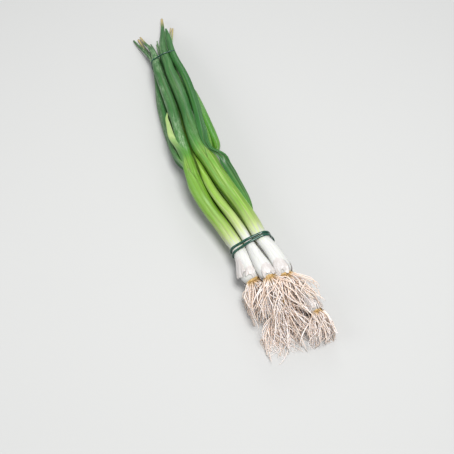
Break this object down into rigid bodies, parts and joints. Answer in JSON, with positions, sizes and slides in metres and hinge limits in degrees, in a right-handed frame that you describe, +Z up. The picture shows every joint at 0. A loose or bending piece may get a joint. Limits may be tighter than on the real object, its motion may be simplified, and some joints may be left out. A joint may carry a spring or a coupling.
{
  "type": "spring onion bunch",
  "caption": "Tied bunch of spring onions lying down: white shanks with root tufts, hollow green leaves, a doubled rubber band round the shanks and a thin band round the leaves.",
  "frame": {"origin": "on the surface that the bunch lies on, under the middle of its bounding box", "axes": "+Z up from the surface, +Y along the bunch from the roots to the leaf tips, +X across it"},
  "size_m": [0.0728, 0.4434, 0.0502],
  "materials": {
    "shank": "smooth moist skin, white at the roots and turning green towards the leaves",
    "leaf": "waxy green leaf with fine lengthwise lines and a grey bloom",
    "roots": "dry pinkish cream roots, tan at the root plate",
    "band": "glossy dark green rubber"
  },
  "bodies": {
    "root": {"onion_1_shank": "shank", "onion_1_roots": "roots", "onion_1_leaf_1": "leaf", "onion_1_leaf_2": "leaf", "onion_2_shank": "shank", "onion_2_roots": "roots", "onion_2_leaf_1": "leaf", "onion_3_shank": "shank", "onion_3_roots": "roots", "onion_3_leaf_1": "leaf", "onion_4_shank": "shank", "onion_4_roots": "roots", "onion_4_leaf_1": "leaf", "onion_4_leaf_2": "leaf", "onion_5_shank": "shank", "onion_5_roots": "roots", "onion_5_leaf_1": "leaf", "onion_6_shank": "shank", "onion_6_roots": "roots", "onion_6_leaf_1": "leaf", "onion_7_shank": "shank", "onion_7_roots": "roots", "onion_7_leaf_1": "leaf", "rubber_band": "band", "leaf_band": "band"}
  },
  "joints": []
}
